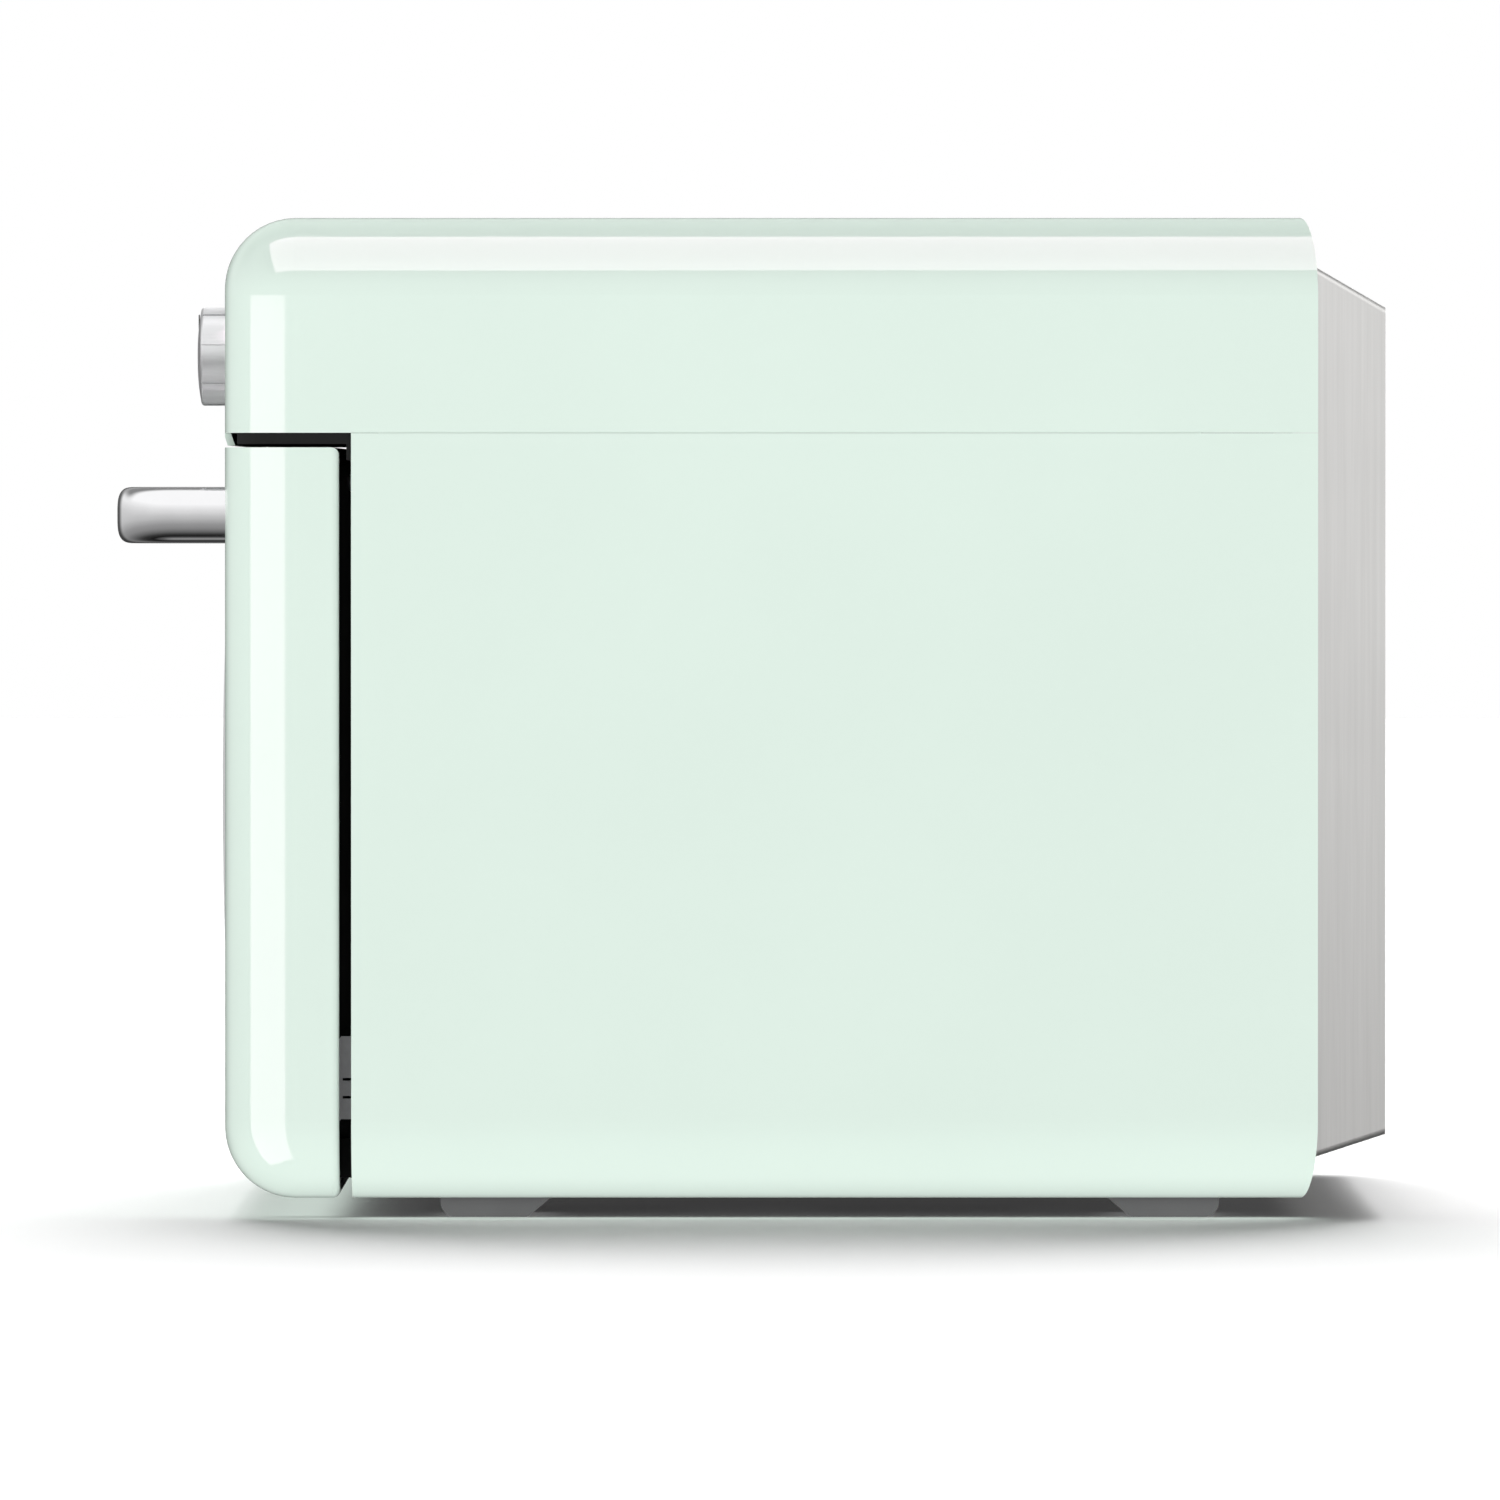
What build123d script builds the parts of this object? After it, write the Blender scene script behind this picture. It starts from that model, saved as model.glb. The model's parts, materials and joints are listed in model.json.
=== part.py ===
from build123d import *
import os

# Countertop microwave oven with a drop-down door, a glass turntable and a hot-air fan at the rear.
# Millimetres. +X is to the right as seen from the front, +Y runs to the back, +Z is up.
# The origin is on the surface that the feet stand on, under the middle of the whole oven.

os.makedirs("parts", exist_ok=True)

# Case
half_width = 249.0
case_top = 360.0
case_bottom = 7.2
front = -188.7  # front face of the control panel and the door
rim = 204.0  # rear rim of the painted case
rear = 229.2  # back of the steel cover
corner_r = 28.0  # corners seen from the front
edge_r = 25.5  # rounding from the front face to the sides, top and bottom
skin = 1.2
gap = 0.3  # between neighbouring pieces
seam = 282.6  # the hood is above, the side panels below
body_front = -142.8
base_half = 218.0
rim_curve_depth = 5.8
rim_curve_height = 29.0

# Door
door_top = 277.4
door_rear = -147.1
door_wall = 2.5
door_edge_r = 3.0
hinge_y = -170.0
hinge_z = 21.0
hinge_x = 215.0
pin_r = 3.0
running = 0.05  # radial clearance of a shaft in its bore
arm_half = 1.5
slot_half = 3.2
window_half = 190.0
window_low = 79.2
window_high = 225.0
latch_x = 150.0
latch_y = -158.0
latch_z = 264.0

# Handle
handle_front = -229.2
handle_low = 242.8
handle_high = 263.2
handle_half = 192.0
grip_depth = 14.0
bend_r = 14.0  # of the handle's middle line, where the grip turns into its legs
screw_x = handle_half - grip_depth / 2
screw_z = (handle_low + handle_high) / 2

# Controls
control_z = 310.5
knob_x = 165.0
knob_r = 17.8
shaft_r = 3.0
button_x = 98.0
button_r = 6.8
board_front = -172.0
board_rear = -170.4

# Oven cavity
cavity_half = 180.0
cavity_low = 43.0
cavity_high = 253.0
cavity_front = -140.8
cavity_rear = 179.0
sheet = 1.0
table_y = (cavity_front + cavity_rear) / 2
roller_r = 8.0
axle_z = cavity_low + gap + roller_r
tray_low = axle_z + roller_r + gap
roller_in = 97.0
roller_out = 106.0
ring_in = 88.0
ring_out = 94.0

# Hot air and cooling
fan_z = (cavity_low + cavity_high) / 2
housing_rear = 206.0
plate_front = 194.5
plate_rear = 196.0
cooler_x = 130.0
cooler_z = 306.0


def facing(y):
    """Plane across the depth at y, drawn in X and Z. Its normal points to the front."""
    return Plane.XZ.offset(-y)


def beside(x):
    """Plane across the width at x, drawn in Y and Z. Its normal points to the right."""
    return Plane.YZ.offset(x)


def level(z):
    """Horizontal plane at height z."""
    return Plane.XY.offset(z)


def block(low, high, mode=Mode.ADD):
    """Box between two opposite corners."""
    middle = tuple((a + b) / 2 for a, b in zip(low, high))
    with Locations(middle):
        Box(*[b - a for a, b in zip(low, high)], mode=mode)


def drum(x, z, radius, low_y, high_y, mode=Mode.ADD):
    """Cylinder along Y."""
    with Locations((x, (low_y + high_y) / 2, z)):
        Cylinder(radius, high_y - low_y, rotation=(90, 0, 0), mode=mode)


def pin(y, z, radius, low_x, high_x, mode=Mode.ADD):
    """Cylinder along X."""
    with Locations(((low_x + high_x) / 2, y, z)):
        Cylinder(radius, high_x - low_x, rotation=(0, 90, 0), mode=mode)


def post(x, y, radius, low_z, high_z, mode=Mode.ADD):
    """Cylinder along Z."""
    with Locations((x, y, (low_z + high_z) / 2)):
        Cylinder(radius, high_z - low_z, mode=mode)


def span(side, inner, outer):
    """The two ends, low first, of a stretch across X on one side of the oven."""
    return sorted((side * inner, side * outer))


def save(piece, name):
    """Names a finished sub-part and writes its file."""
    piece.part.label = name
    export_step(piece.part, f"parts/{name}.step")


def case_form(inset):
    """The rounded case as one solid, drawn in by inset at the front, sides, top and bottom."""
    with BuildPart() as form:
        with BuildSketch(facing(rim)):
            with Locations((0, (case_top + case_bottom) / 2)):
                RectangleRounded(
                    2 * (half_width - inset), case_top - case_bottom - 2 * inset, corner_r - inset
                )
        extrude(amount=rim - front - inset)
        fillet(form.faces().sort_by(Axis.Y)[0].edges(), radius=edge_r - inset)
    return form.part


def rim_outline():
    """Everything in front of the rear rim, which curves forward towards the top and the bottom."""
    curve_y = rim - rim_curve_depth
    high = case_top - rim_curve_height
    low = case_bottom + rim_curve_height
    with BuildPart() as outline:
        with BuildSketch(beside(0)):
            with Locations(((front + curve_y) / 2 - corner_r, (case_top + case_bottom) / 2)):
                Rectangle(curve_y - front + 2 * corner_r, case_top - case_bottom)
            with Locations((curve_y, (high + low) / 2)):
                Rectangle(2 * rim_curve_depth, high - low)
            with Locations((curve_y, high), (curve_y, low)):
                Ellipse(rim_curve_depth, rim_curve_height)
        extrude(amount=half_width + corner_r, both=True)
    return outline.part


def case_skin():
    """The painted shell of the whole case, open at the rear."""
    with BuildPart() as shell:
        add(case_form(0))
        add(case_form(skin), mode=Mode.SUBTRACT)
        add(rim_outline(), mode=Mode.INTERSECT)
    return shell.part


wide = half_width + 1
whole_skin = case_skin()
inner_form = case_form(skin + gap)

# Painted case

with BuildPart() as top_hood:
    add(whole_skin)
    block((-wide, front - 1, seam), (wide, rim + 1, case_top + 1), mode=Mode.INTERSECT)
    lip_low = seam - 4.5
    with BuildSketch(beside(0)):
        with BuildLine():
            Polyline(
                (front, seam + 1.4),
                (front + skin, seam + 1.4),
                (front + skin + 0.8, seam + 0.3),
                (front + skin + 2.5, lip_low),
                (front + skin - 0.2, lip_low),
                (front, lip_low + 3.1),
                close=True,
            )
        make_face()
    extrude(amount=half_width - edge_r, both=True)
    for side in (-1, 1):
        drum(side * knob_x, control_z, shaft_r + 0.8, front - 1, front + skin + 1, Mode.SUBTRACT)
        drum(side * button_x, control_z, button_r + gap, front - 1, front + skin + 1, Mode.SUBTRACT)
    with BuildSketch(facing(front - 1)):
        with Locations((0, control_z + 1.5)):
            RectangleRounded(124, 38, 4)
    extrude(amount=-skin - 2, mode=Mode.SUBTRACT)
save(top_hood, "top_hood")

for side, name in ((-1, "side_panel_left"), (1, "side_panel_right")):
    near, far = span(side, base_half, wide)
    with BuildPart() as side_panel:
        add(whole_skin)
        block((near, body_front, 0), (far, rim + 1, seam - 0.12), mode=Mode.INTERSECT)
    save(side_panel, name)

with BuildPart() as base_plate:
    block(
        (gap - base_half, body_front, case_bottom),
        (base_half - gap, rim - rim_curve_depth, case_bottom + skin),
    )
    with BuildSketch(level(case_bottom)):
        with Locations((-140, 60), (140, 60), (140, -60)):
            with GridLocations(0, 9, 1, 8):
                SlotOverall(70, 3)
    extrude(amount=skin, mode=Mode.SUBTRACT)
save(base_plate, "base_plate")

closure_low = door_top + 1.2
closure_front = front + 4.7
closure_wall = 1.6
with BuildPart() as panel_closure:
    add(inner_form)
    block((-wide, closure_front, closure_low), (wide, body_front - 0.1, seam + 2.4), mode=Mode.INTERSECT)
    with BuildPart(mode=Mode.SUBTRACT):
        add(case_form(skin + gap + closure_wall))
        block(
            (-wide, closure_front + closure_wall, closure_low + closure_wall),
            (wide, body_front - 0.1 - closure_wall, seam + 3),
            mode=Mode.INTERSECT,
        )
    # Lips behind the top of the door, outside the latches
    for side in (-1, 1):
        low_x, high_x = span(side, 170, half_width - skin - gap)
        block(
            (low_x, body_front - 0.1 - closure_wall, closure_low - 5.8),
            (high_x, body_front - 0.1, closure_low + 0.5),
        )
save(panel_closure, "panel_closure")

flange_half = 243.0
flange_low = 14.5
flange_high = 352.0
flange_rear = plate_rear + 1.2
cover_sheet = 1.2
cover_bend_r = 2.2
screw_spots = [(side * 239.4, z) for side in (-1, 1) for z in (60, 184, 300)]

with BuildPart() as back_plate:
    add(inner_form)
    block((-wide, plate_front, 0), (wide, plate_rear, case_top), mode=Mode.INTERSECT)
    drum(0, fan_z, 107, plate_front - 1, plate_rear + 1, Mode.SUBTRACT)
    drum(cooler_x, cooler_z, 42, plate_front - 1, plate_rear + 1, Mode.SUBTRACT)
    for x, z in screw_spots:
        drum(x, z, 2.0, plate_front - 1, plate_rear + 1, Mode.SUBTRACT)
save(back_plate, "back_plate")


def cover_block(inset):
    """The tapered box of the steel rear cover, drawn in by inset."""
    with BuildPart() as tapered:
        with BuildSketch(facing(plate_rear)):
            with Locations((0, 183.2)):
                RectangleRounded(2 * (235 - inset), 326.7 - 2 * inset, cover_bend_r)
        with BuildSketch(facing(rear - inset)):
            with Locations((0, 178.85)):
                RectangleRounded(2 * (217 - inset), 297.9 - 2 * inset, cover_bend_r)
        loft()
    return tapered.part


with BuildPart() as rear_cover:
    with BuildSketch(facing(flange_rear)):
        with Locations((0, (flange_low + flange_high) / 2)):
            RectangleRounded(2 * flange_half, flange_high - flange_low, 20)
    extrude(amount=flange_rear - plate_rear)
    add(cover_block(0))
    add(cover_block(cover_sheet), mode=Mode.SUBTRACT)
    with BuildSketch(facing(rear + 1)):
        with Locations((cooler_x, 290), (-cooler_x, 290), (0, fan_z)):
            with GridLocations(0, 8, 1, 7):
                SlotOverall(64, 3)
    extrude(amount=3, mode=Mode.SUBTRACT)
    drum(-170, 60, 7.2, rear - 3, rear + 1, Mode.SUBTRACT)
    for x, z in screw_spots:
        drum(x, z, 2.0, plate_rear - 1, flange_rear + 1, Mode.SUBTRACT)
save(rear_cover, "rear_cover")

with BuildPart() as cable_gland:
    drum(-170, 60, 7, rear - 8, rear - 0.1)
    drum(-170, 60, 11, rear - 3.4, rear - cover_sheet - 0.1)
    drum(-170, 60, 4, rear - 9, rear, Mode.SUBTRACT)
save(cable_gland, "cable_gland")

with BuildPart() as case_screws:
    for x, z in screw_spots:
        drum(x, z, 3.5, flange_rear, flange_rear + 2.2)
        drum(x, z, 1.9, plate_front - 4, flange_rear)
    fillet(case_screws.faces().group_by(Axis.Y)[-1].edges(), radius=1.0)
save(case_screws, "case_screws")

with BuildPart() as feet:
    for side in (-1, 1):
        with BuildSketch(beside(side * 170)):
            with BuildLine():
                FilletPolyline(
                    (-111.3, case_bottom), (-111.3, 0), (-79.8, 0), (-71.3, case_bottom), radius=(5.4, 3)
                )
                Line((-111.3, case_bottom), (-71.3, case_bottom))
            make_face()
            with BuildLine():
                FilletPolyline(
                    (128.9, case_bottom), (137.4, 0), (169.4, 0), (169.4, case_bottom), radius=(3, 5.4)
                )
                Line((128.9, case_bottom), (169.4, case_bottom))
            make_face()
        extrude(amount=side * 44)
save(feet, "feet")

# Front frame, hinges and latches of the case

with BuildPart() as front_frame:
    add(inner_form)
    block((-wide, cavity_front - 1.5, 0), (wide, cavity_front, seam - 0.3), mode=Mode.INTERSECT)
    with BuildSketch(facing(cavity_front)):
        with Locations((0, (cavity_low + cavity_high) / 2)):
            RectangleRounded(2 * cavity_half, cavity_high - cavity_low, 8)
    extrude(amount=3, mode=Mode.SUBTRACT)
    for side in (-1, 1):
        low_x, high_x = span(side, hinge_x - 2.2, hinge_x + 2.2)
        block((low_x, cavity_front - 3, 34.4), (high_x, cavity_front + 1, 66), mode=Mode.SUBTRACT)
        low_x, high_x = span(side, latch_x - 5, latch_x + 5)
        block((low_x, cavity_front - 3, 258), (high_x, cavity_front + 1, 277), mode=Mode.SUBTRACT)
        drum(side * 222, 264.6, 1.5, cavity_front - 3, cavity_front + 1, Mode.SUBTRACT)
        low_x, high_x = span(side, hinge_x - 4, hinge_x - 2)
        block((low_x, cavity_front - 3.1, 14), (high_x, cavity_front - 1.4, 34))
save(front_frame, "front_frame")

with BuildPart() as frame_screws:
    for side in (-1, 1):
        drum(side * 222, 264.6, 3.1, cavity_front - 3.7, cavity_front - 1.5)
        drum(side * 222, 264.6, 1.45, cavity_front - 1.5, cavity_front + 6)
    fillet(frame_screws.faces().group_by(Axis.Y)[0].edges(), radius=1.4)
save(frame_screws, "frame_screws")

for side, name in ((-1, "hinge_arm_left"), (1, "hinge_arm_right")):
    low_x, high_x = span(side, hinge_x - arm_half, hinge_x + arm_half)
    flange_low_x, flange_high_x = span(side, hinge_x - 19, hinge_x - arm_half)
    with BuildPart() as hinge_arm:
        with BuildSketch(beside(low_x)):
            with BuildLine():
                Polyline(
                    (hinge_y - 3.2, hinge_z + 6.2),
                    (door_rear, 65.2),
                    (-120, 65.2),
                    (-120, 35.3),
                    (door_rear, 35.3),
                    (hinge_y + 5.2, hinge_z - 4.6),
                    close=True,
                )
            make_face()
            with Locations((hinge_y, hinge_z)):
                Circle(7)
                Circle(pin_r + running, mode=Mode.SUBTRACT)
            with Locations((-152, 44)):
                SlotOverall(9, 4, rotation=55, mode=Mode.SUBTRACT)
        extrude(amount=2 * arm_half)
        block((flange_low_x, cavity_front, 36), (flange_high_x, cavity_front + 2, 64))
        for z in (40.5, 47.0):
            pin(-145.0, z, 1.6, low_x - 0.9, high_x + 0.9)
            block((low_x - 1, -146.6, z + 2.2), (high_x + 1, -143.4, z + 3.2), mode=Mode.SUBTRACT)
    save(hinge_arm, name)

with BuildPart() as latch_boards:
    for side in (-1, 1):
        for inner, outer, low, high in (
            (latch_x - 12, latch_x + 12, (cavity_front, 254.1), (-100, 256.1)),
            (latch_x - 12, latch_x - 10, (cavity_front, 256.1), (-100, 272)),
            (latch_x + 10, latch_x + 12, (cavity_front, 256.1), (-100, 272)),
            (latch_x - 10, latch_x + 10, (-138, 256.1), (-134, 259.2)),
        ):
            low_x, high_x = span(side, inner, outer)
            block((low_x, *low), (high_x, *high))
save(latch_boards, "latch_boards")

with BuildPart() as door_switches:
    for side in (-1, 1):
        block((side * latch_x - 4, -122, 256.1), (side * latch_x + 4, -102, 267))
        block((side * latch_x - 1.5, -124, 261), (side * latch_x + 1.5, -122, 264))
save(door_switches, "door_switches")

# Controls in the hood

with BuildPart() as control_board:
    block((-205, board_front, 290), (205, board_rear, 350))
    block((-50, front + skin + 0.1, 297), (50, board_front, 328))
    for side in (-1, 1):
        block((side * button_x - 4, -180, 306.5), (side * button_x + 4, board_front, 314.5))
        for z in (294, 330):
            drum(side * 200, z, 3, front + skin, board_front)
save(control_board, "control_board")

with BuildPart() as display_window:
    with BuildSketch(facing(front + skin)):
        with Locations((0, control_z + 1.5)):
            RectangleRounded(123.6, 37.6, 3.8)
    extrude(amount=skin + 0.3)
    fillet(display_window.faces().sort_by(Axis.Y)[0].edges(), radius=0.25)
save(display_window, "display_window")

with BuildPart() as encoders:
    for side in (-1, 1):
        block((side * knob_x - 7, -184, control_z - 7), (side * knob_x + 7, board_front, control_z + 7))
        drum(side * knob_x, control_z, shaft_r + running, -185, board_front - 1, Mode.SUBTRACT)
save(encoders, "encoders")

knob_rear = front - 0.3
knob_front = -200.1
for side, word in ((-1, "left"), (1, "right")):
    x = side * knob_x
    turning = Plane(origin=(x, 0, control_z), x_dir=(1, 0, 0), z_dir=(0, 0, 1))
    with BuildPart() as knob:
        with BuildSketch(turning):
            with BuildLine():
                Polyline(
                    (0, knob_front + 3.1),
                    (shaft_r, knob_front + 3.1),
                    (shaft_r, knob_rear),
                    (knob_r, knob_rear),
                    (knob_r, knob_front + 2.4),
                )
                ThreePointArc(
                    (knob_r, knob_front + 2.4),
                    (knob_r - 0.35, knob_front + 1.65),
                    (knob_r - 1.1, knob_front + 1.3),
                )
                ThreePointArc(
                    (knob_r - 1.1, knob_front + 1.3),
                    (knob_r / 2 + 2, knob_front + 0.41),
                    (shaft_r, knob_front),
                )
                Polyline((shaft_r, knob_front), (0, knob_front), (0, knob_front + 3.1))
            make_face()
        revolve(axis=Axis((x, 0, control_z), (0, 1, 0)))
        with Locations(Plane(origin=(x, 0, control_z), x_dir=(1, 0, 0), z_dir=(0, -1, 0))):
            with PolarLocations(knob_r, 8, start_angle=12.5):
                with Locations((0, 0, -knob_rear)):
                    Box(1.2, 0.9, 20, mode=Mode.SUBTRACT)
    save(knob, f"knob_{word}")
    with BuildPart() as knob_shaft:
        drum(x, control_z, shaft_r, knob_front + 3.1, board_front - 2)
    save(knob_shaft, f"knob_shaft_{word}")

for side, name in ((-1, "stop_button"), (1, "start_button")):
    x = side * button_x
    with BuildPart() as button:
        drum(x, control_z, button_r, front - 0.6, front + skin + 1.5)
        drum(x, control_z, button_r + 1.5, front + skin + 0.5, front + skin + 1.5)
        drum(x, control_z, 3, front + skin + 1.5, -181.6)
        fillet(button.faces().sort_by(Axis.Y)[0].edges(), radius=0.5)
    save(button, name)

# Door

with BuildPart() as door_shell:
    add(case_form(0))
    block((-wide, front - 1, 0), (wide, door_rear, door_top), mode=Mode.INTERSECT)
    fillet(door_shell.faces().sort_by(Axis.Y)[-1].edges(), radius=door_edge_r)
    with BuildPart(mode=Mode.SUBTRACT):
        add(case_form(door_wall))
        block(
            (-wide, front, 0), (wide, door_rear + 1, door_top - door_wall), mode=Mode.INTERSECT
        )
    with BuildSketch(facing(front - 1)):
        with Locations((0, (window_low + window_high) / 2)):
            RectangleRounded(2 * window_half + 0.4, window_high - window_low + 0.4, 18.2)
    extrude(amount=-door_wall - 2, mode=Mode.SUBTRACT)
    for side in (-1, 1):
        drum(side * screw_x, screw_z, 2.6, front - 1, front + door_wall + 1, Mode.SUBTRACT)
        low_x, high_x = span(side, hinge_x - slot_half, hinge_x + slot_half)
        block((low_x, hinge_y - 2, 0), (high_x, door_rear + 1, 14), mode=Mode.SUBTRACT)
save(door_shell, "door_shell")


def bowed_slab(bow):
    """Flat at the back, and bowed to the front by bow at the window's middle height."""
    low = window_low - 5
    high = window_high + 5
    with BuildPart() as slab:
        with BuildSketch(beside(0)):
            with BuildLine():
                ThreePointArc((front, low), (front - bow, (low + high) / 2), (front, high))
                Polyline((front, high), (front + 5, high), (front + 5, low), (front, low))
            make_face()
        extrude(amount=half_width, both=True)
    return slab.part


trim_width = 4.6
with BuildPart() as window_trim:
    with BuildSketch(facing(front + 3)):
        with Locations((0, (window_low + window_high) / 2)):
            RectangleRounded(2 * window_half, window_high - window_low, 18)
            RectangleRounded(
                2 * (window_half - trim_width),
                window_high - window_low - 2 * trim_width,
                18 - trim_width,
                mode=Mode.SUBTRACT,
            )
    extrude(amount=6)
    add(bowed_slab(1.8), mode=Mode.INTERSECT)
    with BuildSketch(facing(front + door_wall)):
        with Locations((0, (window_low + window_high) / 2)):
            RectangleRounded(2 * window_half + 9, window_high - window_low + 9, 22)
            RectangleRounded(
                2 * (window_half - trim_width),
                window_high - window_low - 2 * trim_width,
                18 - trim_width,
                mode=Mode.SUBTRACT,
            )
    extrude(amount=-1.2)
save(window_trim, "window_trim")

with BuildPart() as window_glass:
    with BuildSketch(facing(front + 3)):
        with Locations((0, (window_low + window_high) / 2)):
            RectangleRounded(
                2 * (window_half - trim_width) - 0.3,
                window_high - window_low - 2 * trim_width - 0.3,
                18 - trim_width,
            )
    extrude(amount=6)
    add(bowed_slab(1.3), mode=Mode.INTERSECT)
save(window_glass, "window_glass")

panel_front = door_rear - 3.5
panel_rear = door_rear - 2.0
choke_deep = -168.0
choke_half = 203.0
choke_low = 40.0
choke_high = 246.0
with BuildPart() as door_choke_panel:
    add(case_form(door_wall + gap))
    block(
        (-wide, panel_front, 0),
        (wide, panel_rear, door_top - door_wall - gap),
        mode=Mode.INTERSECT,
    )
    block((-choke_half, choke_deep, choke_low), (choke_half, panel_front, choke_high))
    block(
        (1.2 - choke_half, choke_deep, choke_low + 1.2),
        (choke_half - 1.2, panel_front, choke_high - 1.2),
        mode=Mode.SUBTRACT,
    )
    for side in (-1, 1):
        low_x, high_x = span(side, hinge_x - slot_half, hinge_x + slot_half)
        block((low_x, panel_front - 1, 0), (high_x, panel_rear + 1, 68), mode=Mode.SUBTRACT)
        low_x, high_x = span(side, latch_x - 4, latch_x + 4)
        block((low_x, panel_front - 1, 255), (high_x, panel_rear + 1, 272), mode=Mode.SUBTRACT)
        for inner in (hinge_x - 6.5, hinge_x + 4.5):
            low_x, high_x = span(side, inner, inner + 2)
            block((low_x, hinge_y, hinge_z - 7), (high_x, panel_front, hinge_z + 7))
            pin(hinge_y, hinge_z, 7, low_x, high_x)
            pin(hinge_y, hinge_z, pin_r + 0.02, low_x - 1, high_x + 1, Mode.SUBTRACT)
        for inner in (latch_x - 6, latch_x + 4):
            low_x, high_x = span(side, inner, inner + 2)
            block((low_x, latch_y - 4.5, latch_z - 4.5), (high_x, panel_front, latch_z + 4.5))
            pin(latch_y, latch_z, 2 + running, low_x - 1, high_x + 1, Mode.SUBTRACT)
save(door_choke_panel, "door_choke_panel")

cover_rear = -143.4
with BuildPart() as choke_cover:
    with BuildSketch(facing(panel_rear)):
        with Locations((0, 149.5)):
            RectangleRounded(416, 245, 6)
    extrude(amount=panel_rear - cover_rear)
    chamfer(choke_cover.faces().sort_by(Axis.Y)[-1].edges(), length=1)
    block((-208, panel_rear, 14), (208, -144.0, 28))
    with BuildSketch(facing(panel_rear - 1)):
        with Locations((0, 149)):
            RectangleRounded(330, 174, 10)
    extrude(amount=-10, mode=Mode.SUBTRACT)
    for side in (-1, 1):
        low_x, high_x = span(side, latch_x - 4, latch_x + 4)
        block((low_x, panel_rear - 1, 256), (high_x, cover_rear + 1, 270.6), mode=Mode.SUBTRACT)
save(choke_cover, "choke_cover")

with BuildPart() as inner_glass:
    with BuildSketch(facing(panel_rear)):
        with Locations((0, 149)):
            RectangleRounded(329.4, 173.4, 9.7)
    extrude(amount=-2.6)
save(inner_glass, "inner_glass")

grip_y = handle_front + grip_depth / 2
with BuildPart() as handle:
    with BuildLine():
        FilletPolyline(
            (-screw_x, front, screw_z),
            (-screw_x, grip_y, screw_z),
            (screw_x, grip_y, screw_z),
            (screw_x, front, screw_z),
            radius=bend_r,
        )
    with BuildSketch(Plane(origin=(-screw_x, front, screw_z), x_dir=(1, 0, 0), z_dir=(0, -1, 0))):
        RectangleRounded(grip_depth, handle_high - handle_low, 6.4)
    sweep()
    for side in (-1, 1):
        drum(side * screw_x, screw_z, 2.5, front - 14, front + 1, Mode.SUBTRACT)
save(handle, "handle")

with BuildPart() as handle_screws:
    for side in (-1, 1):
        drum(side * screw_x, screw_z, 2.5, front - 13.5, front + door_wall)
        drum(side * screw_x, screw_z, 5, front + door_wall, front + door_wall + 3)
save(handle_screws, "handle_screws")

with BuildPart() as badge_strip:
    with BuildSketch(facing(front)):
        with Locations((0, 59.8)):
            RectangleRounded(84, 14.4, 7.1)
    extrude(amount=1.0)
    fillet(badge_strip.faces().sort_by(Axis.Y)[0].edges(), radius=0.4)
save(badge_strip, "badge_strip")

with BuildPart() as hinge_pins:
    for side in (-1, 1):
        low_x, high_x = span(side, hinge_x - 8, hinge_x + 8)
        pin(hinge_y, hinge_z, pin_r, low_x, high_x)
        low_x, high_x = span(side, hinge_x + 6.6, hinge_x + 8)
        pin(hinge_y, hinge_z, 4.5, low_x, high_x)
save(hinge_pins, "hinge_pins")

for side, name in ((-1, "latch_hook_left"), (1, "latch_hook_right")):
    x = side * latch_x
    with BuildPart() as latch_hook:
        block((x - 2.5, latch_y, latch_z - 2), (x + 2.5, -126, latch_z + 3))
        block((x - 2.5, -131, latch_z - 4.5), (x + 2.5, -126, latch_z - 2))
        pin(latch_y, latch_z, 4, x - 2.5, x + 2.5)
        pin(latch_y, latch_z, 2, x - 6, x + 6)
        chamfer(latch_hook.edges().filter_by(Axis.X).group_by(Axis.Y)[-1], length=1.2)
    save(latch_hook, name)

# Oven cavity

with BuildPart() as cavity_wrap:
    block(
        (-cavity_half - sheet, cavity_front, cavity_low - sheet),
        (cavity_half + sheet, cavity_rear, cavity_high + sheet),
    )
    block(
        (-cavity_half, cavity_front - 1, cavity_low - sheet - 1),
        (cavity_half, cavity_rear + 1, cavity_high),
        mode=Mode.SUBTRACT,
    )
    block((40, 75, cavity_high - 1), (95, 127, cavity_high + sheet + 1), mode=Mode.SUBTRACT)
    for side in (-1, 1):
        with BuildSketch(beside(side * cavity_half)):
            with Locations((-60 * side, 205)):
                with GridLocations(7, 7, 7, 5):
                    Circle(2)
        extrude(amount=2, both=True, mode=Mode.SUBTRACT)
save(cavity_wrap, "cavity_wrap")

with BuildPart() as cavity_floor:
    block(
        (0.1 - cavity_half, cavity_front, cavity_low - sheet),
        (cavity_half - 0.1, cavity_rear, cavity_low),
    )
    post(0, table_y, 7, cavity_low - 2, cavity_low + 1, Mode.SUBTRACT)
save(cavity_floor, "cavity_floor")

with BuildPart() as cavity_back:
    block(
        (-cavity_half - sheet, cavity_rear, cavity_low - sheet),
        (cavity_half + sheet, cavity_rear + sheet, cavity_high + sheet),
    )
    with BuildSketch(facing(cavity_rear)):
        with Locations((0, fan_z)):
            for ring in (1, 2, 3, 4):
                with PolarLocations(11 * ring, 6 * ring):
                    Circle(3)
            with PolarLocations(88, 32):
                SlotOverall(14, 4)
    extrude(amount=-sheet, mode=Mode.SUBTRACT)
save(cavity_back, "cavity_back")

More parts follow.
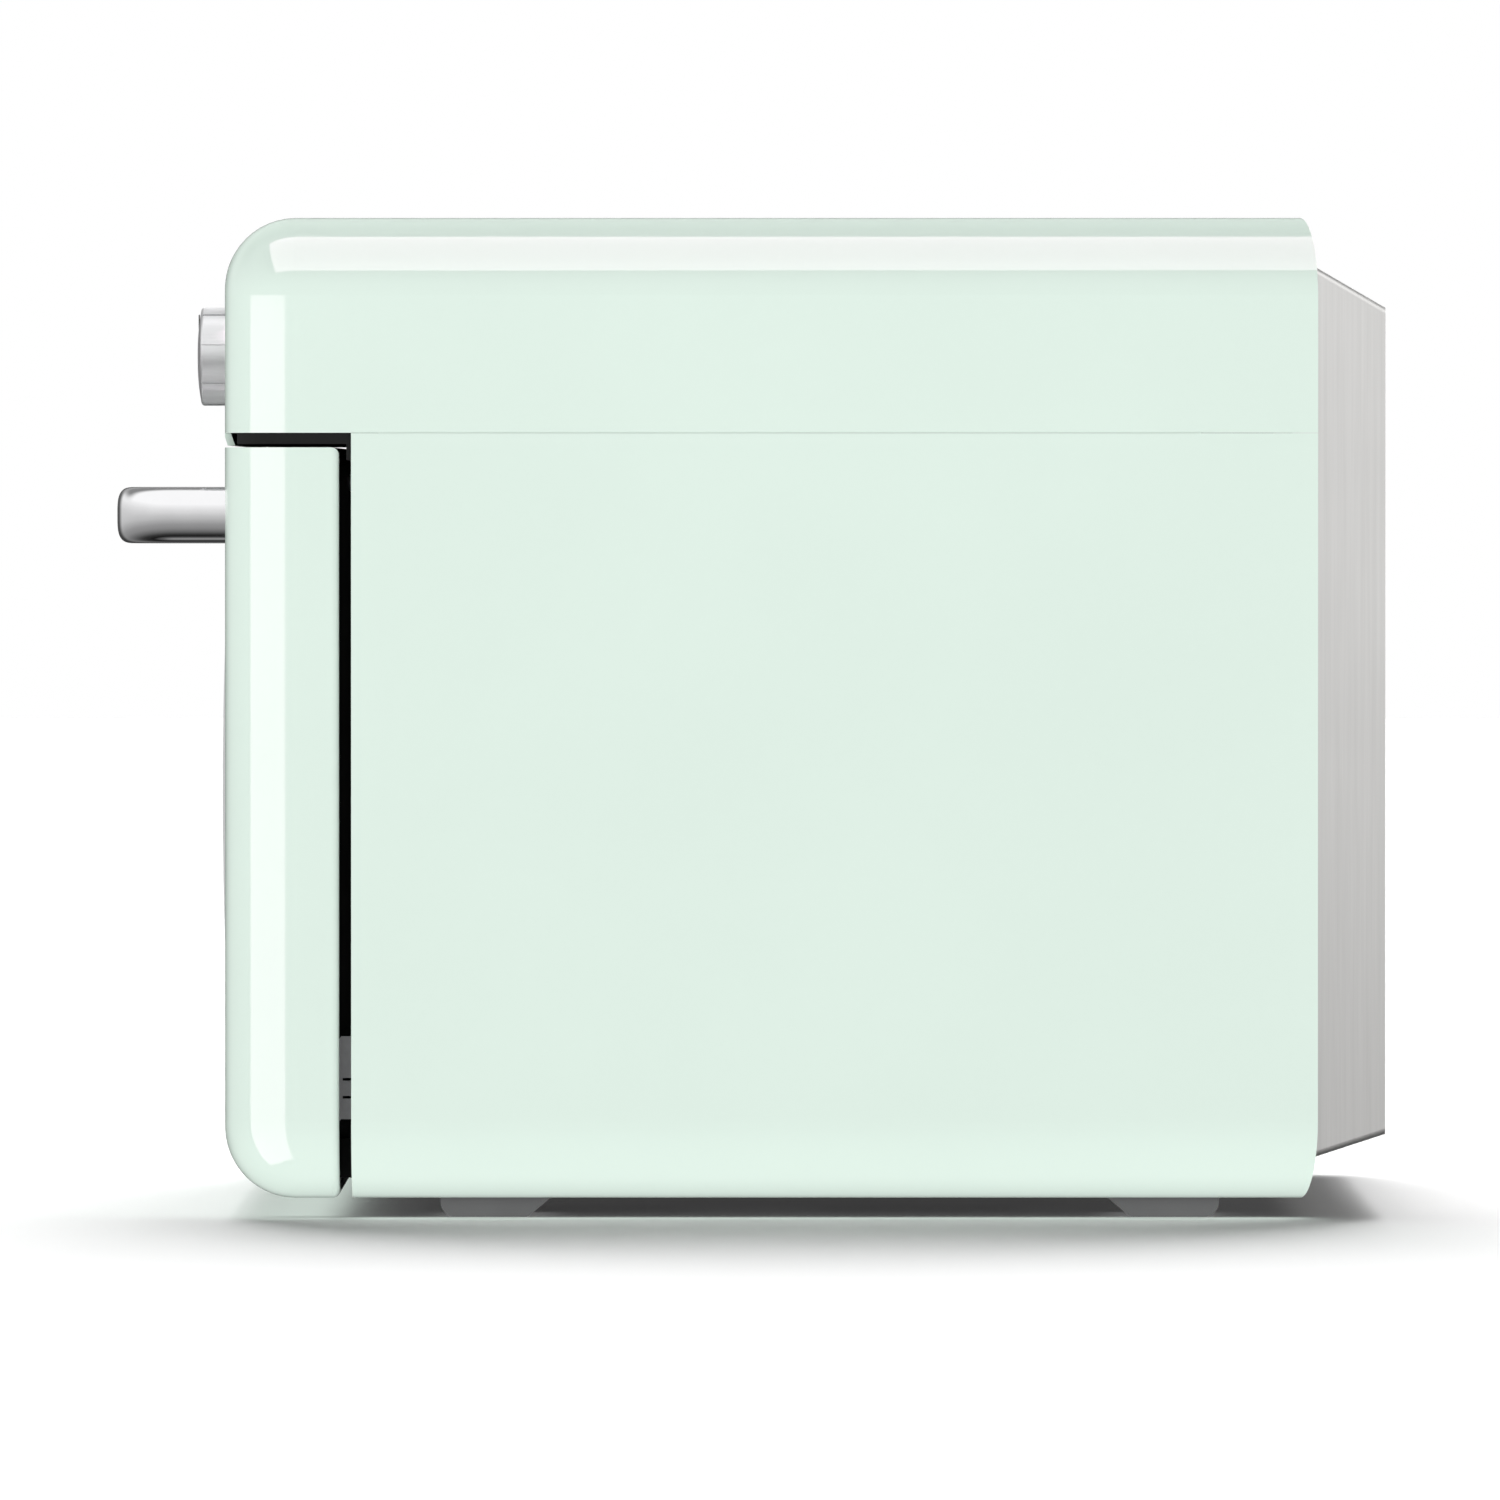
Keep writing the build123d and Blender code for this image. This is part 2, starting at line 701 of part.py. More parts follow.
with BuildPart() as grill_element:
    with BuildLine() as route:
        FilletPolyline(
            (-110, 178, 244),
            (-110, -95, 244),
            (-37, -95, 244),
            (-37, 110, 244),
            (37, 110, 244),
            (37, -95, 244),
            (110, -95, 244),
            (110, 178, 244),
            radius=25,
        )
    with BuildSketch(Plane(origin=(-110, 178, 244), x_dir=(1, 0, 0), z_dir=(0, -1, 0))):
        Circle(3.2)
    sweep()
save(grill_element, "grill_element")

with BuildPart() as waveguide:
    block((30, 62, 254), (190, 140, 274))
    block((31.2, 63.2, 255.2), (188.8, 138.8, 272.8), mode=Mode.SUBTRACT)
    block((40, 75, 253), (95, 127, 256), mode=Mode.SUBTRACT)
    post(143, 101, 12, 272, 275, Mode.SUBTRACT)
save(waveguide, "waveguide")

with BuildPart() as waveguide_cover:
    block((34, 69, 252.3), (101, 133, 253))
save(waveguide_cover, "waveguide_cover")

with BuildPart() as magnetron:
    block((100, 64, 274), (186, 138, 334))
    block((101.5, 63, 275.5), (184.5, 139, 332.5), mode=Mode.SUBTRACT)
    post(143, 101, 18, 275, 333)
    for fin in range(6):
        low = 283 + 8 * fin
        block((101, 68, low), (185, 134, low + 1))
    block((112, 74, 334), (174, 128, 352))
    post(143, 101, 9, 262, 275)
save(magnetron, "magnetron")

with BuildPart() as inverter_board:
    block((-205, -20, 262), (-45, 150, 263.6))
    block((-195, 20, 263.6), (-145, 75, 303))
    for x in (-198, -52):
        for y in (-13, 143):
            post(x, y, 3, 254, 262)
    for y in (100, 125):
        post(-175, y, 9, 263.6, 295)
save(inverter_board, "inverter_board")

with BuildPart() as heatsink:
    block((-120, 10, 263.6), (-60, 120, 268))
    for fin in range(9):
        low = -120 + 7.25 * fin
        block((low, 10, 268), (low + 2, 120, 302))
save(heatsink, "heatsink")

with BuildPart() as cavity_lamp:
    block((-182.5, -85, 185), (-181, -35, 225))
    pin(-60, 205, 12, -183, -180.5, Mode.SUBTRACT)
    block((-198, -84, 196), (-182.5, -82, 214))
    block((-214, -84, 190), (-196, -40, 220))
    pin(-60, 205, 9, -196, -184)
    fillet(cavity_lamp.edges().filter_by(GeomType.CIRCLE).sort_by(Axis.X)[-3], radius=5)
save(cavity_lamp, "cavity_lamp")

# Turntable

with BuildPart() as turntable_motor:
    block((-28, table_y - 25, 22), (28, table_y + 25, cavity_low - sheet))
    post(0, table_y, shaft_r + running, 26, cavity_low, Mode.SUBTRACT)
save(turntable_motor, "turntable_motor")

with BuildPart() as turntable_coupler:
    post(0, table_y, shaft_r, 28, 50)
    post(0, table_y, 9, cavity_low + 2, 52)
    with Locations((0, table_y, 54.5)):
        with PolarLocations(7, 3):
            Box(16, 6, 8)
save(turntable_coupler, "turntable_coupler")

with BuildPart() as roller_ring:
    post(0, table_y, ring_out, axle_z - 2.6, axle_z + 2.6)
    post(0, table_y, ring_in, axle_z - 3, axle_z + 3, Mode.SUBTRACT)
    with Locations((0, table_y, axle_z)):
        with PolarLocations((ring_out + roller_out) / 2 + 0.5, 3, start_angle=30):
            Cylinder(2.5, roller_out - ring_out + 3, rotation=(0, 90, 0))
save(roller_ring, "roller_ring")

for number in (1, 2, 3):
    with BuildPart() as ring_roller:
        with Locations((0, table_y, axle_z)):
            with PolarLocations((roller_in + roller_out) / 2, 1, start_angle=120 * number - 90):
                Cylinder(roller_r, roller_out - roller_in, rotation=(0, 90, 0))
                Cylinder(2.5 + running, roller_out, rotation=(0, 90, 0), mode=Mode.SUBTRACT)
    save(ring_roller, f"ring_roller_{number}")

with BuildPart() as turntable_tray:
    with BuildSketch(Plane(origin=(0, table_y, 0), x_dir=(1, 0, 0), z_dir=(0, -1, 0))):
        with BuildLine():
            Polyline((0, tray_low), (136, tray_low), (146, tray_low + 6), (150, tray_low + 12))
            Polyline((150, tray_low + 12), (147, tray_low + 12), (143.5, tray_low + 7.6))
            Polyline((143.5, tray_low + 7.6), (135, tray_low + 4), (0, tray_low + 4))
            Line((0, tray_low + 4), (0, tray_low))
        make_face()
    revolve(axis=Axis((0, table_y, 0), (0, 0, 1)))
    with Locations((0, table_y, tray_low - 2.2)):
        with PolarLocations(12.5, 3, start_angle=60):
            Cylinder(3.5, 4.6)
save(turntable_tray, "turntable_tray")

# Hot air

with BuildPart() as convection_housing:
    drum(0, fan_z, 106, cavity_rear + sheet, housing_rear)
    drum(0, fan_z, 105, cavity_rear, housing_rear - sheet, Mode.SUBTRACT)
    with BuildSketch(facing(cavity_rear + sheet)):
        with Locations((0, fan_z)):
            Circle(113)
            Circle(105, mode=Mode.SUBTRACT)
    extrude(amount=-sheet)
    drum(0, fan_z, 5, housing_rear - 3, housing_rear + 1, Mode.SUBTRACT)
    for side in (-1, 1):
        drum(side * 12, fan_z - 90, 3.6, housing_rear - 3, housing_rear + 1, Mode.SUBTRACT)
save(convection_housing, "convection_housing")

with BuildPart() as convection_element:
    with BuildSketch(Plane(origin=(0, 0, fan_z), x_dir=(1, 0, 0), z_dir=(0, 0, 1))):
        with Locations((90, 193)):
            Circle(3.2)
    revolve(axis=Axis((0, 0, fan_z), (0, 1, 0)))
    for side in (-1, 1):
        drum(side * 12, fan_z - 90, 3.0, 193, housing_rear + 8)
save(convection_element, "convection_element")

with BuildPart() as convection_motor:
    drum(0, fan_z, 28, housing_rear, 226)
    drum(0, fan_z, shaft_r + running, housing_rear - 1, 222, Mode.SUBTRACT)
save(convection_motor, "convection_motor")

with BuildPart() as convection_fan:
    drum(0, fan_z, 68, 198, 199.4)
    drum(0, fan_z, 10, 188, 204)
    drum(0, fan_z, shaft_r, 199, 220)
    with Locations(Plane(origin=(0, 192, fan_z), x_dir=(1, 0, 0), z_dir=(0, -1, 0))):
        with PolarLocations(43, 10):
            Box(46, 1.4, 13)
save(convection_fan, "convection_fan")

# Cooling fan of the magnetron

with BuildPart() as cooling_fan_frame:
    block((cooler_x - 48, 166, cooler_z - 48), (cooler_x + 48, 190, cooler_z + 48))
    drum(cooler_x, cooler_z, 44.5, 165, 191, Mode.SUBTRACT)
    drum(cooler_x, cooler_z, 17, 182, 190)
    for turn in (45, 135):
        with Locations(Plane(origin=(cooler_x, 188, cooler_z), x_dir=(1, 0, 0), z_dir=(0, -1, 0))):
            Box(92, 4, 4, rotation=(0, 0, turn))
    drum(cooler_x, cooler_z, 2.55, 181, 189, Mode.SUBTRACT)
save(cooling_fan_frame, "cooling_fan_frame")

with BuildPart() as cooling_fan:
    drum(cooler_x, cooler_z, 17, 168, 181)
    drum(cooler_x, cooler_z, 2.5, 180, 188)
    with Locations(Plane(origin=(cooler_x, 174.5, cooler_z), x_dir=(1, 0, 0), z_dir=(0, -1, 0))):
        with PolarLocations(29.5, 7):
            Box(27, 1.6, 13, rotation=(35, 0, 0))
save(cooling_fan, "cooling_fan")
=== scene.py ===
import json
import math

import bmesh
import bpy
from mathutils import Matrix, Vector


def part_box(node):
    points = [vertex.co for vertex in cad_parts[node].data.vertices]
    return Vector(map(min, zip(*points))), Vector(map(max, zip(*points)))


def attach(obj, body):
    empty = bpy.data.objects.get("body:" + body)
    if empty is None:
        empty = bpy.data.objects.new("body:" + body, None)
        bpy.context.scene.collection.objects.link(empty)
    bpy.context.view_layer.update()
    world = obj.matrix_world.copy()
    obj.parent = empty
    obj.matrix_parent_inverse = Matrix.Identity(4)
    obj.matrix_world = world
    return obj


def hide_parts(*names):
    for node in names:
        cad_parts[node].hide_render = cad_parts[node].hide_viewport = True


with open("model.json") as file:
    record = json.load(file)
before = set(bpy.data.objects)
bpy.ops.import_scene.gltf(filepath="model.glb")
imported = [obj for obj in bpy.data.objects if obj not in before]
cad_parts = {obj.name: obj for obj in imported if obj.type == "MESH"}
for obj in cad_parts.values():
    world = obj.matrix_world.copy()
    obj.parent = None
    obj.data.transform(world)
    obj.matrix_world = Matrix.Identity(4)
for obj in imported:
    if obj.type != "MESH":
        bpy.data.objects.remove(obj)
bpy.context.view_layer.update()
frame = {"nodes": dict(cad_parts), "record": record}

nodes = frame["nodes"]
MM = 0.001


# ---------------------------------------------------------------- node material helpers


class NodeTree:
    """Short ways to add and join the nodes of a material or of the world."""

    def node(self, kind, **values):
        made = self.tree.nodes.new(kind)
        for key, value in values.items():
            setattr(made, key, value)
        return made

    def link(self, source, target):
        self.tree.links.new(source, target)

    def feed(self, socket, value):
        """Puts another socket or a plain number into a socket."""
        if isinstance(value, bpy.types.NodeSocket):
            self.link(value, socket)
        else:
            socket.default_value = value

    def math(self, operation, *values):
        made = self.node("ShaderNodeMath", operation=operation)
        for socket, value in zip(made.inputs, values):
            self.feed(socket, value)
        return made.outputs[0]

    def product(self, first, *others):
        for other in others:
            first = self.math("MULTIPLY", first, other)
        return first


class Shade(NodeTree):
    """A node material under construction."""

    def __init__(self, name):
        self.material = bpy.data.materials.new(name)
        self.material.use_nodes = True
        self.tree = self.material.node_tree
        self.bsdf = self.tree.nodes["Principled BSDF"]
        self.place = self.node("ShaderNodeTexCoord").outputs["Object"]

    def set(self, **values):
        """Constant values of the surface, such as its metalness."""
        for key, value in values.items():
            self.bsdf.inputs[key.replace("_", " ")].default_value = value

    def stretched(self, scale):
        """Object coordinates with another scale along each axis."""
        mapping = self.node("ShaderNodeMapping")
        mapping.inputs["Scale"].default_value = scale
        self.link(self.place, mapping.inputs["Vector"])
        return mapping.outputs["Vector"]

    def noise(self, scale, detail=3.0, stretch=None, rough=0.5):
        made = self.node("ShaderNodeTexNoise")
        made.inputs["Scale"].default_value = scale
        made.inputs["Detail"].default_value = detail
        made.inputs["Roughness"].default_value = rough
        self.link(self.stretched(stretch) if stretch else self.place, made.inputs["Vector"])
        return made.outputs["Fac"]

    def between(self, factor, low, high, start=0.3, stop=0.7):
        """A number that runs from low to high as the factor goes from start to stop."""
        made = self.node("ShaderNodeMapRange")
        made.inputs["From Min"].default_value = start
        made.inputs["From Max"].default_value = stop
        made.inputs["To Min"].default_value = low
        made.inputs["To Max"].default_value = high
        self.link(factor, made.inputs["Value"])
        return made.outputs["Result"]

    def mixed(self, factor, first, second):
        """A colour between two others."""
        made = self.node("ShaderNodeMix", data_type="RGBA")
        self.link(factor, made.inputs[0])
        for socket, value in ((made.inputs[6], first), (made.inputs[7], second)):
            self.feed(socket, (*value, 1) if isinstance(value, tuple) else value)
        return made.outputs[2]

    def colour(self, source):
        self.link(source, self.bsdf.inputs["Base Color"])

    def rough(self, source):
        self.link(source, self.bsdf.inputs["Roughness"])

    def bump(self, height, distance, strength=1.0):
        made = self.node("ShaderNodeBump")
        made.inputs["Strength"].default_value = strength
        made.inputs["Distance"].default_value = distance
        self.link(height, made.inputs["Height"])
        self.link(made.outputs["Normal"], self.bsdf.inputs["Normal"])


def shaded(tone, factor):
    """A colour made lighter or darker."""
    return tuple(min(1.0, part * factor) for part in tone)


def paint(name, tone, rough, peel=0.02):
    """Sprayed gloss enamel: a faint orange peel, slight tone and gloss variation."""
    s = Shade(name)
    tones = s.between(s.noise(9, 4), 0, 1, 0.35, 0.65)
    s.colour(s.mixed(tones, shaded(tone, 0.992), shaded(tone, 1.008)))
    s.rough(s.between(s.noise(26, 5), rough * 0.8, rough * 1.25))
    s.bump(s.noise(420, 2), 0.0002, peel)
    s.set(IOR=1.5)
    return s.material


def metal(name, tone, rough, grain=None, depth=0.00002, spread=0.12, smudge=0.2):
    """Bare metal. Grain is the stretch of its brushing, with the long way small."""
    s = Shade(name)
    lines = s.noise(1, 6, grain or (160, 160, 160), 0.65)
    tones = s.between(lines, 0, 1)
    s.colour(s.mixed(tones, shaded(tone, 1 - spread), shaded(tone, 1 + spread * 0.5)))
    wear = s.noise(14, 5)
    fine = s.between(lines, rough * (1 - smudge), rough * (1 + smudge))
    s.rough(s.math("ADD", fine, s.between(wear, -rough * 0.15, rough * 0.15)))
    s.bump(lines, depth)
    s.set(Metallic=1.0)
    return s.material


def plastic(name, tone, rough, grain=900, depth=0.00006, strength=0.5):
    """Moulded plastic or rubber with a fine spark-eroded texture."""
    s = Shade(name)
    tones = s.between(s.noise(30, 5), 0, 1)
    s.colour(s.mixed(tones, shaded(tone, 0.9), shaded(tone, 1.08)))
    s.rough(s.between(s.noise(60, 5), rough * 0.88, rough * 1.1))
    s.bump(s.noise(grain, 3), depth, strength)
    s.set(Specular_IOR_Level=0.18)
    return s.material


def glass(name, tone, clear, rough=0.03):
    """Sheet or pressed glass with faint waves and a few smears."""
    s = Shade(name)
    smear = s.between(s.noise(12, 6), 0, 1)
    s.colour(s.mixed(smear, tone, shaded(tone, 0.94)))
    s.rough(s.between(smear, rough * 0.6, rough * 1.8, 0.0, 1.0))
    s.bump(s.noise(18, 2), 0.0003, 0.03)
    s.set(Transmission_Weight=clear, IOR=1.5)
    return s.material


def screen(name, tone, pitch, radius, field):
    """Sheet metal with round holes drawn as dark dots of painted shade, in a field of (middle, half) in X
    and Z.
    """
    s = Shade(name)
    axes = s.node("ShaderNodeSeparateXYZ")
    s.link(s.place, axes.inputs[0])
    squares = []
    limits = []
    for axis, (middle, half) in zip(("X", "Z"), field):
        offset = s.math("WRAP", axes.outputs[axis], pitch / 2, -pitch / 2)
        squares.append(s.product(offset, offset))
        limits.append(s.math("COMPARE", axes.outputs[axis], middle, half))
    dot = s.math("LESS_THAN", s.math("ADD", *squares), radius**2)
    hole_shade = s.product(dot, *limits)
    sheet = s.mixed(s.between(s.noise(40, 4), 0, 1), shaded(tone, 0.9), shaded(tone, 1.05))
    # The near-black colour in the holes is painted shade for the dark seen through them, not open holes.
    s.colour(s.mixed(hole_shade, sheet, (0.008, 0.008, 0.008)))
    s.rough(s.between(s.noise(60, 5), 0.38, 0.5))
    s.bump(hole_shade, 0.0003, 0.3)
    s.set(Metallic=1.0)
    return s.material


MINT = (0.737, 0.868, 0.786)
materials = {
    "mint_paint": paint("mint_enamel", MINT, 0.045),
    "black_enamel": paint("black_enamel", (0.012, 0.012, 0.013), 0.28, peel=0.06),
    "chrome": metal(
        "chrome", (0.86, 0.86, 0.87), 0.05, (90, 90, 90), depth=0.000004, spread=0.02, smudge=0.4
    ),
    "button": metal("button_chrome", (0.8, 0.8, 0.81), 0.09, (120, 120, 120), depth=0.000004, spread=0.03),
    "brushed_cover": metal(
        "brushed_cover", (0.575, 0.57, 0.56), 0.36, (700, 700, 9), depth=0.000008, spread=0.07, smudge=0.1
    ),
    "stainless": metal(
        "stainless_cavity", (0.52, 0.52, 0.51), 0.3, (7, 700, 700), depth=0.00003, spread=0.1
    ),
    "galvanised": metal(
        "galvanised_sheet", (0.6, 0.61, 0.62), 0.38, (60, 60, 60), depth=0.00003, spread=0.22
    ),
    "motor_steel": metal(
        "motor_steel", (0.45, 0.45, 0.46), 0.4, (60, 60, 60), depth=0.00003, spread=0.15
    ),
    "aluminium": metal("aluminium", (0.7, 0.7, 0.71), 0.35, (200, 200, 20), depth=0.00003, spread=0.1),
    "heater": metal(
        "scaled_heater_tube", (0.16, 0.15, 0.14), 0.5, (120, 120, 120), depth=0.00004, spread=0.3
    ),
    "satin_metal": metal(
        "satin_metal", (0.72, 0.72, 0.73), 0.3, (1500, 30, 1500), depth=0.000006, spread=0.04, smudge=0.15
    ),
    "black_plastic": plastic("black_plastic", (0.01, 0.0105, 0.0105), 0.6),
    "dark_rubber": plastic("dark_rubber", (0.125, 0.127, 0.128), 0.75, grain=600, depth=0.0001),
    "display": plastic(
        "display_acrylic", (0.006, 0.006, 0.007), 0.06, grain=200, depth=0.00001, strength=0.1
    ),
    "board": plastic("circuit_board", (0.02, 0.13, 0.05), 0.4, grain=500),
    "white_plastic": plastic("white_plastic", (0.72, 0.71, 0.68), 0.45),
    "mica": plastic("mica_sheet", (0.45, 0.38, 0.28), 0.5, grain=300, depth=0.0002),
    "glass_dark": glass("smoked_glass", (0.06, 0.065, 0.065), clear=0.55),
    "glass_clear": glass("clear_glass", (0.93, 0.97, 0.95), clear=0.95, rough=0.02),
}

slot_of = {entry["node"]: entry["material_slot"] for entry in frame["record"]["subparts"]}


def finish_surface(obj, slot_name):
    """Gives an object its slot's material, with smooth shading."""
    obj.data.materials.clear()
    obj.data.materials.append(materials[slot_name])
    for face in obj.data.polygons:
        face.use_smooth = True


for name, obj in nodes.items():
    finish_surface(obj, slot_of[name])
choke_sheet = nodes["door_choke_panel"].data.materials
screen_field = ((0.0, 0.161), (0.149, 0.083))
choke_sheet[0] = screen("perforated_screen", (0.3, 0.3, 0.3), 2.6 * MM, 0.85 * MM, screen_field)


# ---------------------------------------------------------------- pieces


pieces = []


def new_piece(name, mesh, body, slot, material=None):
    """Puts a mesh in the scene as a piece that rides on a body."""
    obj = bpy.data.objects.new(name, mesh)
    pieces.append(obj)
    bpy.context.scene.collection.objects.link(obj)
    mesh.materials.append(material or materials[slot])
    for face in mesh.polygons:
        face.use_smooth = True
    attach(obj, body)
    return obj


def finished(work, name):
    """Turns a bmesh into a mesh with outward normals."""
    bmesh.ops.recalc_face_normals(work, faces=work.faces)
    mesh = bpy.data.meshes.new(name)
    work.to_mesh(mesh)
    work.free()
    return mesh


def bridge(work, rings):
    """Joins rings of vertices into a tube with closed ends."""
    for first, second in zip(rings, rings[1:]):
        count = len(first)
        for k in range(count):
            n = (k + 1) % count
            work.faces.new((first[k], first[n], second[n], second[k]))
    work.faces.new(rings[0])
    work.faces.new(rings[-1])


def superellipse(half_wide, half_high, power, count):
    """Points of a rounded section, in its own two directions."""
    points = []
    for k in range(count):
        turn = 2 * math.pi * k / count
        c, d = math.cos(turn), math.sin(turn)
        wide = half_wide * math.copysign(abs(c) ** (2 / power), c)
        high = half_high * math.copysign(abs(d) ** (2 / power), d)
        points.append((wide, high))
    return points


def grip_route(half_length, root_y, grip_y, radius, steps):
    """Middle line of the handle with the direction across it, from one leg to the other."""
    route = []
    leg_steps = 4
    cap_ring = 0.03 * MM  # keeps the shading of the leg's end off its side
    for side in (-1, 1):
        leg = [
            (side * half_length, root_y + (grip_y + radius - root_y) * k / leg_steps, side, 0)
            for k in range(leg_steps)
        ]
        leg.insert(1, (side * half_length, root_y - cap_ring, side, 0))
        bend = []
        for k in range(steps + 1):
            turn = math.pi / 2 * k / steps
            x = half_length - radius + radius * math.cos(turn)
            y = grip_y + radius - radius * math.sin(turn)
            bend.append((side * x, y, side * math.cos(turn), -math.sin(turn)))
        half = leg + bend
        route += half if side < 0 else half[::-1]
    return route


def make_handle():
    """The grip with its two legs: a rounded section along a U, squarer on the grip."""
    low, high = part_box("handle")
    depth = 14 * MM
    bend = 14 * MM
    bend_steps = 14
    leg_power = 2.5
    grip_power = 3.5
    section_points = 72
    half_high = (high[2] - low[2]) / 2
    grip_y = low[1] + depth / 2
    half_length = high[0] - depth / 2
    middle_z = (low[2] + high[2]) / 2
    work = bmesh.new()
    rings = []
    for x, y, out_x, out_y in grip_route(half_length, high[1], grip_y, bend, bend_steps):
        power = grip_power + (leg_power - grip_power) * abs(out_x)
        section = superellipse(depth / 2, half_high, power, section_points)
        places = [(x + wide * out_x, y + wide * out_y, middle_z + up) for wide, up in section]
        rings.append([work.verts.new(place) for place in places])
    bridge(work, rings)
    handle = new_piece("grip_bar", finished(work, "grip_bar"), "door", "chrome")
    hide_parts("handle")


make_handle()


def bar(work, start, stop, width, front_y, proud):
    """A flat bar with round ends and a raised face, on a surface that faces the front."""
    round_steps = 6
    sunk = 0.1 * MM
    along = Vector((stop[0] - start[0], 0, stop[1] - start[1])).normalized()
    across = Vector((-along.z, 0, along.x))
    rings = []
    for inset, y in ((0, front_y + sunk), (0, front_y - proud * 0.6), (proud * 0.4, front_y - proud)):
        ring = []
        for end, base in ((stop, 1), (start, -1)):
            centre = Vector((end[0], y, end[1]))
            for k in range(round_steps + 1):
                turn = math.pi * k / round_steps
                reach = (width / 2 - inset) * (along * math.sin(turn) + across * -math.cos(turn)) * base
                ring.append(work.verts.new(centre + reach))
        rings.append(ring)
    bridge(work, rings)


def make_knob_marks():
    """Tick marks on the hood and a pointer on each knob."""
    hood_low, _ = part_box("top_hood")
    tick_count = 11
    first_turn = -135
    tick_turn = 27
    tick_gap = 4.2 * MM
    for word in ("left", "right"):
        low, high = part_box(f"knob_{word}")
        x = (low[0] + high[0]) / 2
        z = (low[2] + high[2]) / 2
        radius = (high[0] - low[0]) / 2
        work = bmesh.new()
        for k in range(tick_count):
            turn = math.radians(first_turn + tick_turn * k)
            inner = radius + tick_gap
            outer = inner + (3.4 if k % 5 == 0 else 2.0) * MM
            start = (x + inner * math.sin(turn), z + inner * math.cos(turn))
            stop = (x + outer * math.sin(turn), z + outer * math.cos(turn))
            bar(work, start, stop, 0.7 * MM, hood_low[1], 0.06 * MM)
        new_piece(f"dial_marks_{word}", finished(work, "dial_marks"), "case", "black_plastic")
        work = bmesh.new()
        bar(work, (x, z + 0.45 * radius), (x, z + 0.82 * radius), 1.3 * MM, low[1] + 0.55 * MM, 0.3 * MM)
        new_piece(f"knob_pointer_{word}", finished(work, "knob_pointer"), f"knob_{word}", "black_plastic")


make_knob_marks()


SEGMENTS = {
    "a": ((0, 2), (1, 2)),
    "b": ((1, 2), (1, 1)),
    "c": ((1, 1), (1, 0)),
    "d": ((0, 0), (1, 0)),
    "e": ((0, 1), (0, 0)),
    "f": ((0, 2), (0, 1)),
    "g": ((0, 1), (1, 1)),
}
DIGITS = {"0": "abcdef", "1": "bc", "2": "abged", "3": "abgcd"}


def make_display():
    """Seven-segment clock figures just in front of the display window."""
    low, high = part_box("display_window")
    middle_x = (low[0] + high[0]) / 2
    middle_z = (low[2] + high[2]) / 2
    digit_wide = 6.2 * MM
    digit_high = 6.2 * MM  # half of a figure
    lean = 0.6 * MM
    pitch = 11.5 * MM
    proud = 0.05 * MM
    work = bmesh.new()
    for place, digit in zip((-1.75, -0.75, 0.75, 1.75), "1230"):
        for name in DIGITS[digit]:
            ends = []
            for across, up in SEGMENTS[name]:
                x = middle_x + place * pitch + (across - 0.5) * digit_wide + (up - 1) * lean
                ends.append((x, middle_z + (up - 1) * digit_high))
            start, stop = Vector(ends[0]), Vector(ends[1])
            trim = (stop - start).normalized() * 1.0 * MM
            bar(work, tuple(start + trim), tuple(stop - trim), 1.1 * MM, low[1], proud)
    for up in (-0.45, 0.45):
        z = middle_z + up * digit_high
        bar(work, (middle_x - 0.15 * MM, z), (middle_x + 0.15 * MM, z), 1.3 * MM, low[1], proud)
    lit = Shade("display_segments")
    tone = lit.mixed(lit.between(lit.noise(400), 0, 1), (0.62, 0.86, 0.8), (0.72, 0.95, 0.88))
    lit.colour(tone)
    lit.set(Roughness=0.4, Emission_Strength=0.5)
    lit.link(tone, lit.bsdf.inputs["Emission Color"])
    new_piece("display_figures", finished(work, "display_figures"), "case", "display", lit.material)


make_display()


def make_button_marks():
    """A triangle on the start button and a square on the stop button."""
    reach = 2.5 * MM
    for name, corners, turn in (("start_button", 3, 0), ("stop_button", 4, 45)):
        low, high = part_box(name)
        x = (low[0] + high[0]) / 2
        z = (low[2] + high[2]) / 2
        work = bmesh.new()
        points = []
        for k in range(corners):
            angle = math.radians(360 * k / corners + turn)
            points.append((x + reach * math.cos(angle), z + reach * math.sin(angle)))
        for start, stop in zip(points, points[1:] + points[:1]):
            bar(work, start, stop, 0.5 * MM, low[1], 0.05 * MM)
        new_piece(f"{name}_mark", finished(work, f"{name}_mark"), name, "black_plastic")


make_button_marks()


def pan_head(work, middle, radius, height):
    """A pan-head screw with a cross recess that faces the rear."""
    count = 48
    slot_half = 0.13 * radius
    slot_reach = 0.55 * radius
    recess_depth = 0.5
    recess_taper = 0.8
    turns = [2 * math.pi * k / count for k in range(count)]
    outline = [(1.0, 0.0), (1.0, 0.35), (0.96, 0.6), (0.86, 0.82), (0.7, 0.94), (0.62, 0.98)]
    rings = []
    for across, rise in outline:
        reach = across * radius
        places = [(math.cos(turn) * reach, rise * height, math.sin(turn) * reach) for turn in turns]
        rings.append([work.verts.new(middle + Vector(place)) for place in places])
    cross = []
    for turn in turns:
        narrow = min(abs(math.cos(turn)), abs(math.sin(turn)))
        reach = min(slot_reach, slot_half / max(narrow, 1e-6))
        cross.append((math.cos(turn) * reach, math.sin(turn) * reach))
    for rise, shrink in ((1.0, 1.0), (1.0 - recess_depth, recess_taper)):
        places = [(x * shrink, rise * height, z * shrink) for x, z in cross]
        rings.append([work.verts.new(middle + Vector(place)) for place in places])
    bridge(work, rings)


